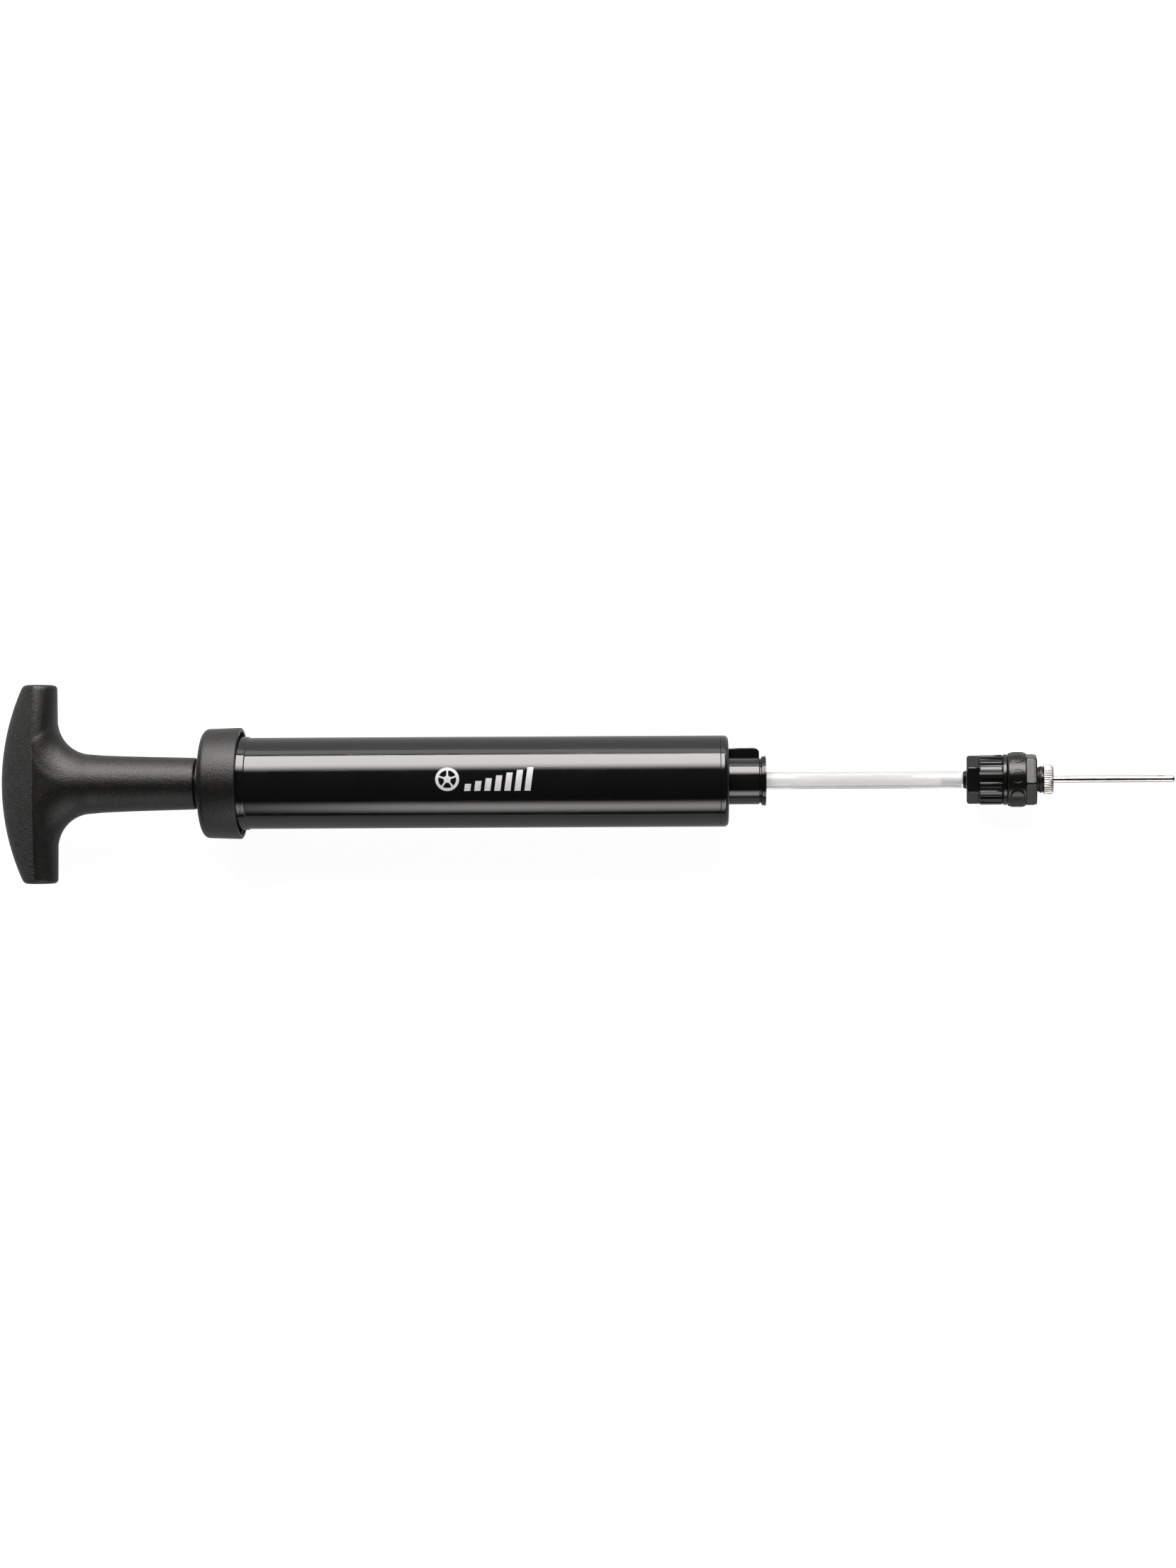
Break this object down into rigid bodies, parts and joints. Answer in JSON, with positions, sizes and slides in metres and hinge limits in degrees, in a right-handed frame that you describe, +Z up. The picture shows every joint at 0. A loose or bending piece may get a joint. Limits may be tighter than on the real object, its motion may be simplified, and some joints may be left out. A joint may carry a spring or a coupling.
{
  "type": "ball inflation pump",
  "caption": "Hand-held T-handle air pump: a rod and piston slide in a round barrel, and a short hose leads to a screw-clamp head that holds a threaded inflation needle.",
  "frame": {"origin": "under the middle of the pump body without the hose and head, on the surface the pump lies on", "axes": "+X along the pump towards the needle, +Y across towards the nozzle's fin, +Z up"},
  "size_m": [0.3399, 0.0574, 0.0322],
  "materials": {
    "grained_plastic": "fine leathery grain, satin",
    "gloss_plastic": "high gloss black",
    "head_plastic": "semi-gloss black",
    "seal_rubber": "satin black",
    "nylon": "natural",
    "rod_aluminium": "drawn",
    "steel": "polished",
    "nickel": "bright nickel plate",
    "clear_hose": "milky translucent"
  },
  "bodies": {
    "barrel": {"barrel_tube": "gloss_plastic", "barrel_cap": "grained_plastic", "rod_bushing": "gloss_plastic", "rod_wiper": "seal_rubber", "end_cap": "gloss_plastic", "valve_seat": "seal_rubber", "check_spring": "steel", "outlet_seal": "seal_rubber", "outlet_ring": "gloss_plastic", "hose": "clear_hose", "hose_collar": "head_plastic", "hose_barb": "nylon", "head_body": "head_plastic", "head_seal": "seal_rubber"},
    "piston": {"piston": "nylon"},
    "ring": {"piston_ring": "seal_rubber"},
    "handle": {"handle": "grained_plastic", "piston_rod": "rod_aluminium", "rod_plug": "nylon", "piston_screw": "steel", "screw_washer": "steel", "stop_bumper": "seal_rubber"},
    "check_ball": {"check_ball": "steel"},
    "grommet": {"grommet": "seal_rubber"},
    "clamp_nut": {"clamp_nut": "head_plastic"},
    "needle_washer": {"needle_washer": "seal_rubber"},
    "needle": {"needle_hub": "nickel", "needle_tube": "nickel"}
  },
  "joints": [
    {"name": "pump_stroke", "type": "slide", "parent": "barrel", "child": "piston", "axis": [-1, 0, 0], "range_m": [0, 0.1235]},
    {"name": "handle_turn", "type": "hinge", "parent": "piston", "child": "handle", "pos_m": [0, 0, 0.0161], "axis": [1, 0, 0], "continuous": true},
    {"name": "ring_float", "type": "slide", "parent": "piston", "child": "ring", "axis": [1, 0, 0], "range_m": [0, 0.0006]},
    {"name": "ball_lift", "type": "slide", "parent": "barrel", "child": "check_ball", "axis": [1, 0, 0], "range_m": [0, 0.001], "stiffness_N_per_m": 60, "springref_m": -0.0015, "deforming": ["check_spring"]},
    {"name": "nut_turn", "type": "hinge", "parent": "grommet", "child": "clamp_nut", "pos_m": [0.16813, 0, 0.00685], "axis": [0.9962, 0, 0.0872], "range_deg": [0, 720]},
    {"name": "nut_travel", "type": "slide", "parent": "barrel", "child": "grommet", "axis": [0.9962, 0, 0.0872], "range_m": [0, 0.0025]},
    {"name": "needle_turn", "type": "hinge", "parent": "needle_washer", "child": "needle", "pos_m": [0.16813, 0, 0.00685], "axis": [0.9962, 0, 0.0872], "range_deg": [0, 2520]},
    {"name": "needle_travel", "type": "slide", "parent": "grommet", "child": "needle_washer", "axis": [0.9962, 0, 0.0872], "range_m": [0, 0.00556]}
  ],
  "couplings": [
    {"joint": "nut_turn", "follows": "nut_travel", "rad_per_m": 5026.5},
    {"joint": "needle_turn", "follows": "needle_travel", "rad_per_m": 7913.3}
  ]
}
